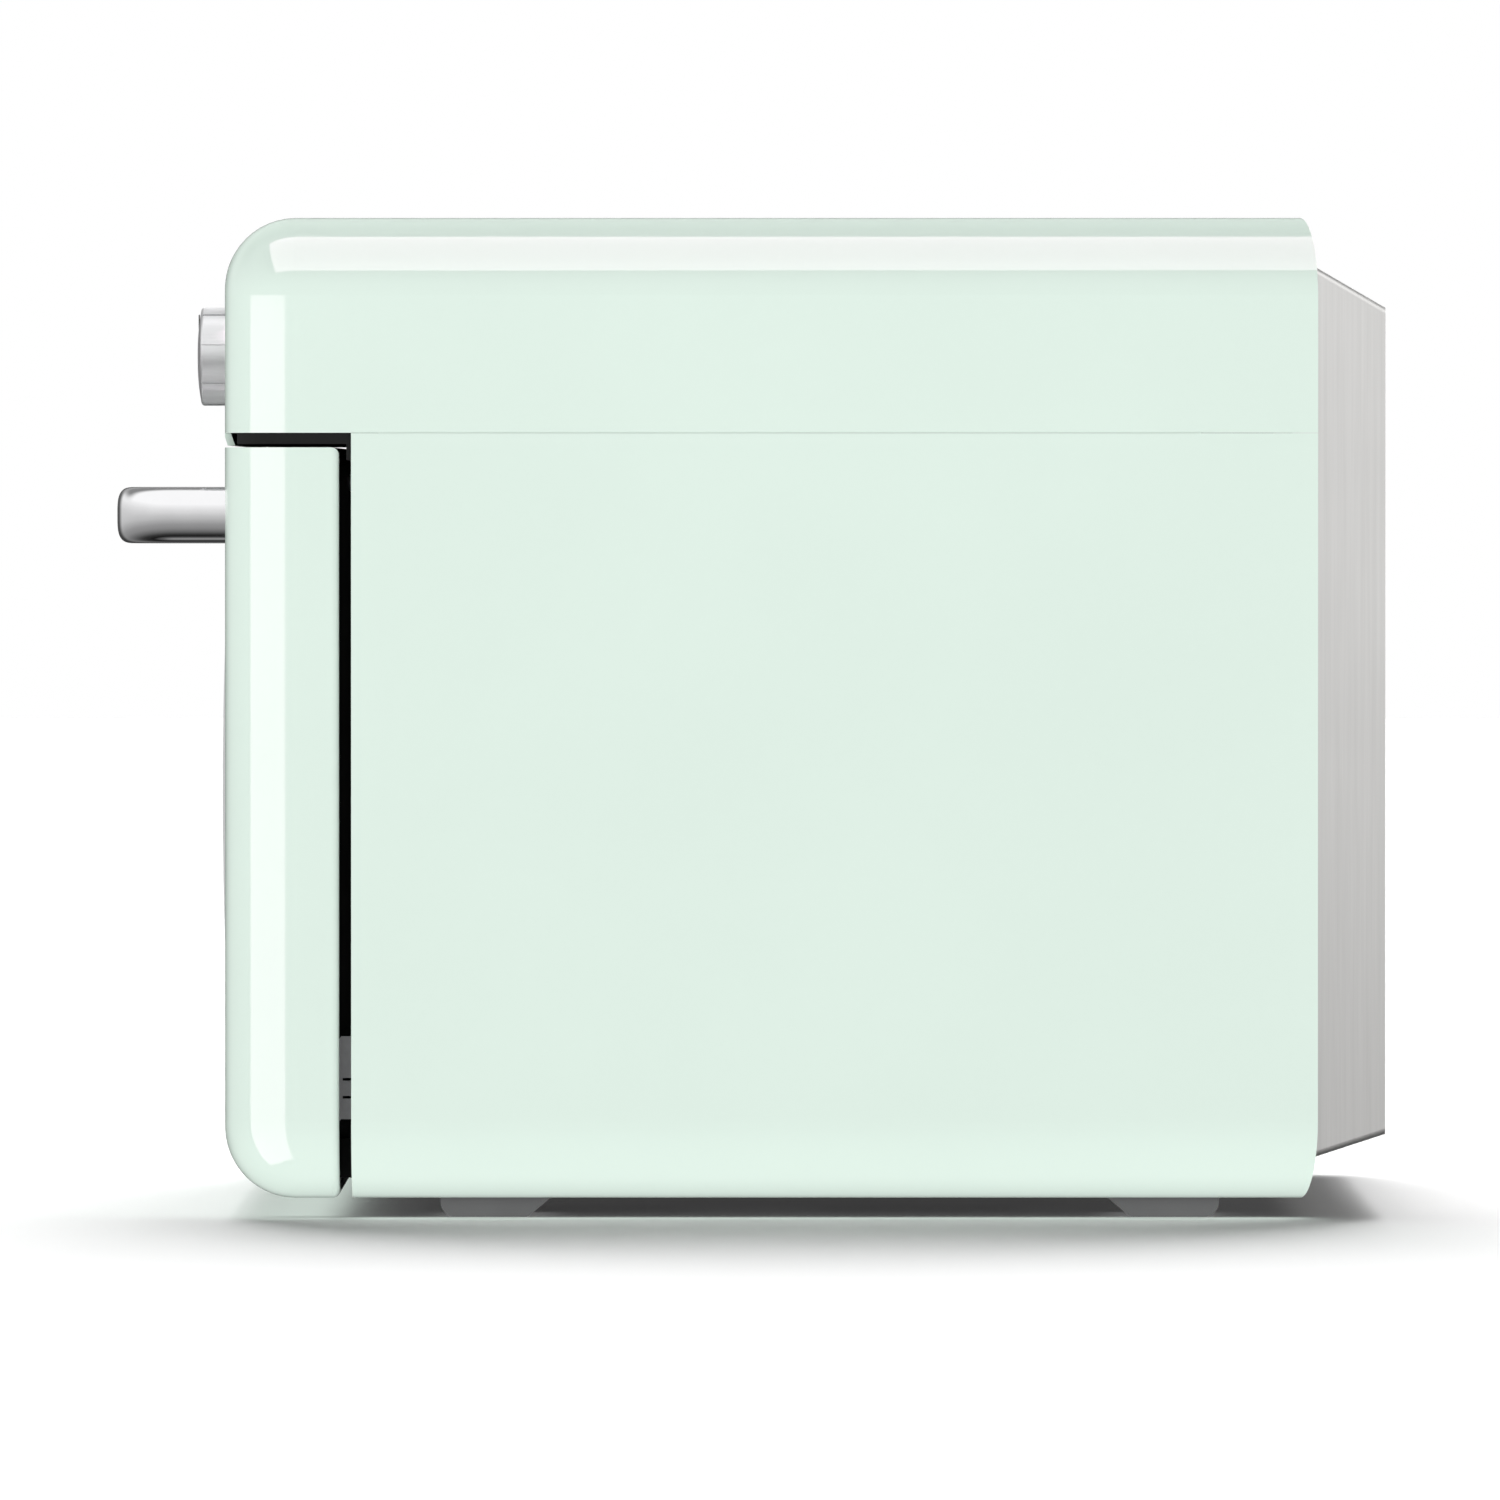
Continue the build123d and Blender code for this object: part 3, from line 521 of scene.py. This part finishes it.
def make_screws():
    """Cross-recess screws in place of the plain ones of the rear cover."""
    low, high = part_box("case_screws")
    radius = 3.5 * MM
    height = 2.2 * MM
    work = bmesh.new()
    for x in (low[0] + radius, high[0] - radius):
        for z in (60 * MM, 184 * MM, 300 * MM):
            pan_head(work, Vector((x, high[1] - height, z)), radius, height)
    screws = new_piece("cover_screw_heads", finished(work, "cover_screw_heads"), "case", "galvanised")
    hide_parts("case_screws")


make_screws()

# ---------------------------------------------------------------- stage

floor_half = 15.0


def floor_material():
    s = Shade("pale_floor")
    tones = s.between(s.noise(3, 4), 0, 1)
    s.colour(s.mixed(tones, (0.965, 0.965, 0.965), (0.98, 0.98, 0.98)))
    s.rough(s.between(s.noise(40, 4), 0.9, 1.0))
    s.set(Specular_IOR_Level=0.0, Emission_Color=(1, 1, 1, 1), Emission_Strength=0.02)
    return s.material


def make_floor():
    """A plain floor that shows the shadow but keeps no light off the oven."""
    corners = [(x * floor_half, y * floor_half, 0) for x, y in ((-1, -1), (1, -1), (1, 1), (-1, 1))]
    mesh = bpy.data.meshes.new("floor")
    mesh.from_pydata(corners, [], [(0, 1, 2, 3)])
    mesh.materials.append(floor_material())
    floor = bpy.data.objects.new("floor", mesh)
    bpy.context.scene.collection.objects.link(floor)
    floor.visible_glossy = False
    floor.visible_diffuse = False
    floor.visible_shadow = False


make_floor()


def around(distance, angle):
    """The two parts of a step of some length at an angle in degrees."""
    turn = math.radians(angle)
    return distance * math.cos(turn), distance * math.sin(turn)


def group(name, objects):
    """A set of objects that a light is kept to."""
    made = bpy.data.collections.new(name)
    for obj in objects:
        made.objects.link(obj)
    return made


def area_light(name, middle, target, size, level, receivers, tone=(1, 1, 1)):
    """A rectangular light, wide by high, that faces a target and reaches only the receivers."""
    data = bpy.data.lights.new(name, "AREA")
    data.shape = "RECTANGLE"
    data.size, data.size_y = size
    data.energy = level * math.pi * size[0] * size[1]
    data.color = tone
    light = bpy.data.objects.new(name, data)
    bpy.context.scene.collection.objects.link(light)
    light.location = middle
    light.rotation_euler = (Vector(middle) - Vector(target)).to_track_quat("Z", "Y").to_euler()
    light.visible_camera = False
    light.visible_transmission = False
    light.light_linking.receiver_collection = receivers
    return light


def softbox(*values):
    """A light that only shows in gloss."""
    light = area_light(*values)
    light.visible_diffuse = False
    return light


def made_of(*slots):
    """The CAD objects of some material slots."""
    return [obj for name, obj in nodes.items() if slot_of[name] in slots]


def span_at(distance, low_angle, high_angle):
    """The length that a light at a distance needs to fill the angles between two limits."""
    return 2 * distance * math.tan(math.radians((high_angle - low_angle) / 2))


painted = group("painted_parts", made_of("mint_paint"))
box_distance = 2.2
band_tone = (1.0, 0.72, 0.87)  # keeps the highlights near white over the green paint

# The bright band along the rounded top edge
band_low, band_high = 37, 98
top_edge = Vector((0.235, 0, 0.345))
step, rise = around(box_distance, (band_low + band_high) / 2)
top_middle = top_edge + Vector((step, 0, rise))
top_size = (3.2, span_at(box_distance, band_low, band_high))
softbox("top_softbox", top_middle, top_edge, top_size, 5.2, painted, band_tone)

# The bright band down the rounded front edge, level with its target so that the band ends at front_top
band_low, band_high = 16, 78
front_top = 0.362
front_high = 4.3
front_edge = Vector((0.235, -0.175, front_top - front_high / 2))
step, side = around(box_distance, (band_low + band_high) / 2)
front_middle = front_edge + Vector((step, -side, 0))
front_size = (span_at(box_distance, band_low, band_high), front_high)
softbox("front_softbox", front_middle, front_edge, front_size, 4.0, painted, band_tone)

# The steel cover, brighter towards its top
cover_light_z = 0.84
cover_side = Vector((0.226, 0.213, cover_light_z))
step, side = around(1.0, 57)
cover_middle = cover_side + Vector((step, side, 0))
cover_parts = group("cover_parts", [nodes["rear_cover"]])
softbox("rear_softbox", cover_middle, cover_side, (1.7, 1.52), 0.5, cover_parts)

# Soft fill from the front and above, for the rounded edges
oven_parts = group("oven_parts", [*nodes.values(), *pieces])
step, rise = around(1.5, 45)
ahead, aside = around(step, 35)
fill_middle = top_edge + Vector((ahead, -aside, rise))
fill = area_light("side_fill", fill_middle, top_edge, (1.6, 1.6), 0.6, oven_parts)
fill.visible_glossy = False

# The undersides of the knobs
knobs = group("knobs", made_of("satin_metal"))
knob_middle = Vector((0, -0.195, 0.31))
step, drop = around(1.0, -80)
softbox("knob_fill", knob_middle + Vector((step, 0, drop)), knob_middle, (3.0, 3.0), 0.5, knobs)


class Sky(NodeTree):
    """The world, with its parts as functions of the direction that a ray comes from."""

    def __init__(self, name):
        world = bpy.data.worlds.new(name)
        bpy.context.scene.world = world
        world.use_nodes = True
        self.tree = world.node_tree
        self.tree.nodes.clear()
        split = self.node("ShaderNodeSeparateXYZ")
        self.link(self.node("ShaderNodeTexCoord").outputs["Generated"], split.inputs[0])
        self.x, _, self.z = split.outputs

    def step(self, source, start, stop, low=0.0, high=1.0, curve="SMOOTHSTEP"):
        """A change from low to high as the source goes from start to stop."""
        made = self.node("ShaderNodeMapRange", interpolation_type=curve)
        self.link(source, made.inputs["Value"])
        for name, value in (("From Min", start), ("From Max", stop), ("To Min", low), ("To Max", high)):
            made.inputs[name].default_value = value
        return made.outputs["Result"]

    def rise(self, start, stop):
        """A step by elevation, in degrees. It falls where stop is the lower one."""
        return self.step(self.z, sine(start), sine(stop))

    def graded(self, levels):
        """A level that changes with elevation, through points of (degrees, level)."""
        ramp = self.node("ShaderNodeValToRGB")
        elements = ramp.color_ramp.elements
        first, *inner, last = levels
        for element, (angle, level) in zip(list(elements), (first, last)):
            element.color = (level, level, level, 1)
        for angle, level in inner:
            elements.new((sine(angle) + 1) / 2).color = (level, level, level, 1)
        self.link(self.step(self.z, -1, 1, curve="LINEAR"), ramp.inputs["Fac"])
        return ramp.outputs["Color"]

    def dimmed(self, level, where, part):
        """Takes a part of a level away where another value is one."""
        return self.product(level, self.math("SUBTRACT", 1.0, self.product(where, part)))

    def light(self, level):
        """A background of one level, or of a level that a socket gives."""
        made = self.node("ShaderNodeBackground")
        made.inputs["Color"].default_value = (1, 1, 1, 1)
        self.feed(made.inputs["Strength"], level)
        return made.outputs[0]

    def choose(self, test, otherwise, then):
        made = self.node("ShaderNodeMixShader")
        self.link(test, made.inputs[0])
        self.link(otherwise, made.inputs[1])
        self.link(then, made.inputs[2])
        return made.outputs[0]


def sine(angle):
    return math.sin(math.radians(angle))


def cosine(angle):
    return math.cos(math.radians(angle))


ring_front = 2.5
ring_back = 0.0
high_level = 11.0
high_spread = (32, 8)  # degrees off straight behind where the high light starts and is full
below_level = 0.8
ambient = 0.02
gloss_levels = [
    (-90, 0.3),
    (-78, 0.12),
    (-67, 0.01),
    (-54, 0.04),
    (-44, 0.12),
    (-27, 0.27),
    (-15, 0.34),
    (-7, 0.46),
    (-1, 0.62),
    (3, 0.78),
    (10, 0.93),
    (20, 1.1),
    (90, 1.1),
]


def lit_level(sky):
    """What lights the oven: a low ring, a high light behind, an even light from below."""
    ring = sky.product(sky.rise(-16, -9), sky.rise(13, 6))
    ring_level = sky.product(ring, sky.step(sky.x, -1.0, 0.0, ring_back, ring_front))
    flat = sky.math("SQRT", sky.math("SUBTRACT", 1.0, sky.product(sky.z, sky.z)))
    heading = sky.math("DIVIDE", sky.x, flat)
    behind = sky.step(heading, *[-cosine(angle) for angle in high_spread])
    high_part = sky.product(sky.rise(18, 32), sky.rise(84, 76), behind, high_level)
    below = sky.step(sky.z, sine(-4), sine(-14), 0.0, below_level)
    return sky.math("ADD", sky.math("ADD", ring_level, high_part), sky.math("ADD", below, ambient))


def mirrored_level(sky):
    """What the gloss shows: levels by elevation, darker on the far side to draw the edges."""
    upper_far = sky.product(sky.step(sky.x, -0.05, -0.5), sky.rise(10, 35))
    straight_behind = sky.product(sky.step(sky.x, -0.64, -0.88), sky.rise(-40, -20), sky.rise(35, 10))
    level = sky.dimmed(sky.graded(gloss_levels), upper_far, 0.75)
    return sky.dimmed(level, straight_behind, 0.85)


def build_world():
    """White to the camera, with one set of levels for lighting and one for reflections."""
    sky = Sky("white_studio")
    path = sky.node("ShaderNodeLightPath")
    lit = sky.light(lit_level(sky))
    mirrored = sky.light(mirrored_level(sky))
    shown = sky.choose(path.outputs["Is Glossy Ray"], lit, mirrored)
    shown = sky.choose(path.outputs["Is Camera Ray"], shown, sky.light(1.0))
    sky.link(shown, sky.node("ShaderNodeOutputWorld").inputs["Surface"])


build_world()

camera_distance = 7.0
camera_height = 0.26
frame_width = 0.540
frame_plane = 0.2235
aim = Vector((frame_plane, 0.00027, 0.1685))
camera = bpy.data.objects.new("camera", bpy.data.cameras.new("camera"))
bpy.context.scene.collection.objects.link(camera)
camera.location = Vector((camera_distance, aim.y, camera_height))
sight = aim - camera.location
camera.rotation_euler = sight.to_track_quat("-Z", "Y").to_euler()
camera.data.lens = camera.data.sensor_width * sight.length / frame_width
camera.data.clip_end = 100
bpy.context.scene.camera = camera
bpy.context.scene.view_settings.view_transform = "Standard"
